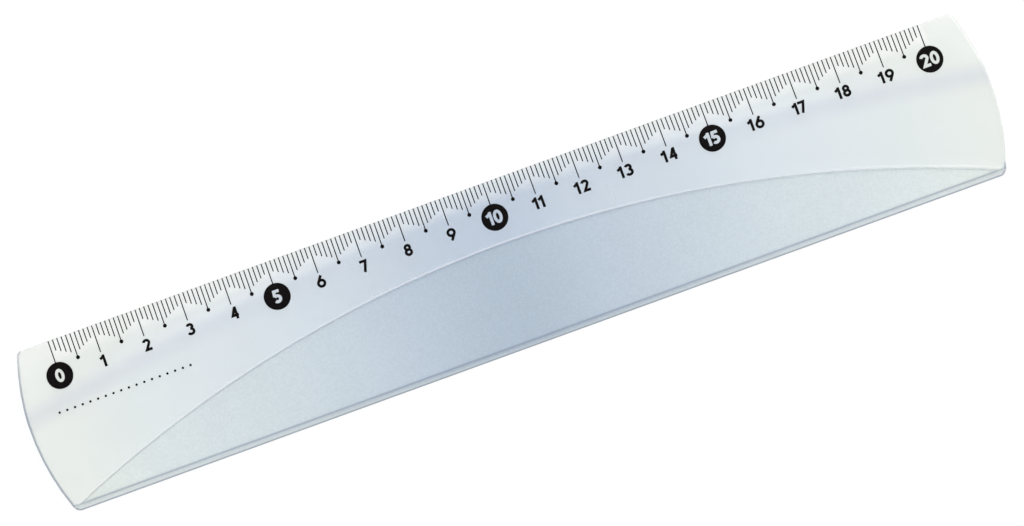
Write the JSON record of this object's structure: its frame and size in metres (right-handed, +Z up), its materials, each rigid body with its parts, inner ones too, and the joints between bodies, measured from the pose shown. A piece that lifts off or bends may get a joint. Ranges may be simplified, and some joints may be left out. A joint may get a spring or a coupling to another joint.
{
  "type": "flexible ruler",
  "caption": "Flexible translucent plastic ruler with bowed ends, a bevelled scale edge and a frosted grip recess, for measuring, marking and drawing lines.",
  "frame": {"origin": "middle of the ruler on its flat underside, level with the scale's 10 mark and half-way across the width", "axes": "+X along the scale towards its 20 mark, +Y across the ruler towards the scale edge, +Z up out of the printed top face"},
  "size_m": [0.2208, 0.0366, 0.0024],
  "materials": {
    "translucent_plastic": "clear plastic with a blue-grey tint, polished on the scale side and finely frosted on the grip",
    "printed_ink": "opaque black printing ink, satin"
  },
  "bodies": {
    "zero_end": {"zero_end": "translucent_plastic"},
    "span_at_1cm": {"span_at_1cm": "translucent_plastic"},
    "span_at_2cm": {"span_at_2cm": "translucent_plastic"},
    "span_at_4cm": {"span_at_4cm": "translucent_plastic"},
    "span_at_5cm": {"span_at_5cm": "translucent_plastic"},
    "span_at_6cm": {"span_at_6cm": "translucent_plastic"},
    "span_at_7cm": {"span_at_7cm": "translucent_plastic"},
    "span_at_9cm": {"span_at_9cm": "translucent_plastic"},
    "middle_span": {"middle_span": "translucent_plastic"},
    "span_at_11cm": {"span_at_11cm": "translucent_plastic"},
    "span_at_13cm": {"span_at_13cm": "translucent_plastic"},
    "span_at_14cm": {"span_at_14cm": "translucent_plastic"},
    "span_at_15cm": {"span_at_15cm": "translucent_plastic"},
    "span_at_16cm": {"span_at_16cm": "translucent_plastic"},
    "span_at_18cm": {"span_at_18cm": "translucent_plastic"},
    "span_at_19cm": {"span_at_19cm": "translucent_plastic"},
    "twenty_end": {"twenty_end": "translucent_plastic"}
  },
  "joints": [
    {"name": "bend", "type": "hinge", "parent": "middle_span", "child": "span_at_11cm", "pos_m": [0.00649, 0, 0.0012], "axis": [0, -1, 0], "range_deg": [-13, 13], "stiffness_Nm_per_rad": 0.03},
    {"name": "bend_at_12cm", "type": "hinge", "parent": "span_at_11cm", "child": "span_at_13cm", "pos_m": [0.01948, 0, 0.0012], "axis": [0, -1, 0], "range_deg": [-13, 13], "stiffness_Nm_per_rad": 0.03},
    {"name": "twist", "type": "hinge", "parent": "span_at_13cm", "child": "span_at_14cm", "pos_m": [0.03247, 0, 0.0012], "axis": [1, 0, 0], "range_deg": [-12.5, 12.5], "stiffness_Nm_per_rad": 0.015},
    {"name": "bend_at_15cm", "type": "hinge", "parent": "span_at_14cm", "child": "span_at_15cm", "pos_m": [0.04546, 0, 0.0012], "axis": [0, -1, 0], "range_deg": [-13, 13], "stiffness_Nm_per_rad": 0.03},
    {"name": "bend_at_16cm", "type": "hinge", "parent": "span_at_15cm", "child": "span_at_16cm", "pos_m": [0.05845, 0, 0.0012], "axis": [0, -1, 0], "range_deg": [-13, 13], "stiffness_Nm_per_rad": 0.03},
    {"name": "twist_at_17cm", "type": "hinge", "parent": "span_at_16cm", "child": "span_at_18cm", "pos_m": [0.07144, 0, 0.0012], "axis": [1, 0, 0], "range_deg": [-12.5, 12.5], "stiffness_Nm_per_rad": 0.015},
    {"name": "bend_at_18cm", "type": "hinge", "parent": "span_at_18cm", "child": "span_at_19cm", "pos_m": [0.08442, 0, 0.0012], "axis": [0, -1, 0], "range_deg": [-13, 13], "stiffness_Nm_per_rad": 0.03},
    {"name": "bend_at_20cm", "type": "hinge", "parent": "span_at_19cm", "child": "twenty_end", "pos_m": [0.09741, 0, 0.0012], "axis": [0, -1, 0], "range_deg": [-13, 13], "stiffness_Nm_per_rad": 0.03},
    {"name": "bend_at_9cm", "type": "hinge", "parent": "middle_span", "child": "span_at_9cm", "pos_m": [-0.00649, 0, 0.0012], "axis": [0, 1, 0], "range_deg": [-13, 13], "stiffness_Nm_per_rad": 0.03},
    {"name": "bend_at_8cm", "type": "hinge", "parent": "span_at_9cm", "child": "span_at_7cm", "pos_m": [-0.01948, 0, 0.0012], "axis": [0, 1, 0], "range_deg": [-13, 13], "stiffness_Nm_per_rad": 0.03},
    {"name": "twist_at_7cm", "type": "hinge", "parent": "span_at_7cm", "child": "span_at_6cm", "pos_m": [-0.03247, 0, 0.0012], "axis": [-1, 0, 0], "range_deg": [-12.5, 12.5], "stiffness_Nm_per_rad": 0.015},
    {"name": "bend_at_5cm", "type": "hinge", "parent": "span_at_6cm", "child": "span_at_5cm", "pos_m": [-0.04546, 0, 0.0012], "axis": [0, 1, 0], "range_deg": [-13, 13], "stiffness_Nm_per_rad": 0.03},
    {"name": "bend_at_4cm", "type": "hinge", "parent": "span_at_5cm", "child": "span_at_4cm", "pos_m": [-0.05845, 0, 0.0012], "axis": [0, 1, 0], "range_deg": [-13, 13], "stiffness_Nm_per_rad": 0.03},
    {"name": "twist_at_3cm", "type": "hinge", "parent": "span_at_4cm", "child": "span_at_2cm", "pos_m": [-0.07144, 0, 0.0012], "axis": [-1, 0, 0], "range_deg": [-12.5, 12.5], "stiffness_Nm_per_rad": 0.015},
    {"name": "bend_at_2cm", "type": "hinge", "parent": "span_at_2cm", "child": "span_at_1cm", "pos_m": [-0.08442, 0, 0.0012], "axis": [0, 1, 0], "range_deg": [-13, 13], "stiffness_Nm_per_rad": 0.03},
    {"name": "bend_at_0cm", "type": "hinge", "parent": "span_at_1cm", "child": "zero_end", "pos_m": [-0.09741, 0, 0.0012], "axis": [0, 1, 0], "range_deg": [-13, 13], "stiffness_Nm_per_rad": 0.03}
  ],
  "couplings": [
    {"joint": "bend_at_12cm", "follows": "bend", "ratio": 1},
    {"joint": "bend_at_15cm", "follows": "bend", "ratio": 1},
    {"joint": "bend_at_16cm", "follows": "bend", "ratio": 1},
    {"joint": "twist_at_17cm", "follows": "twist", "ratio": 1},
    {"joint": "bend_at_18cm", "follows": "bend", "ratio": 1},
    {"joint": "bend_at_20cm", "follows": "bend", "ratio": 1},
    {"joint": "bend_at_9cm", "follows": "bend", "ratio": 1},
    {"joint": "bend_at_8cm", "follows": "bend", "ratio": 1},
    {"joint": "twist_at_7cm", "follows": "twist", "ratio": 1},
    {"joint": "bend_at_5cm", "follows": "bend", "ratio": 1},
    {"joint": "bend_at_4cm", "follows": "bend", "ratio": 1},
    {"joint": "twist_at_3cm", "follows": "twist", "ratio": 1},
    {"joint": "bend_at_2cm", "follows": "bend", "ratio": 1},
    {"joint": "bend_at_0cm", "follows": "bend", "ratio": 1}
  ]
}
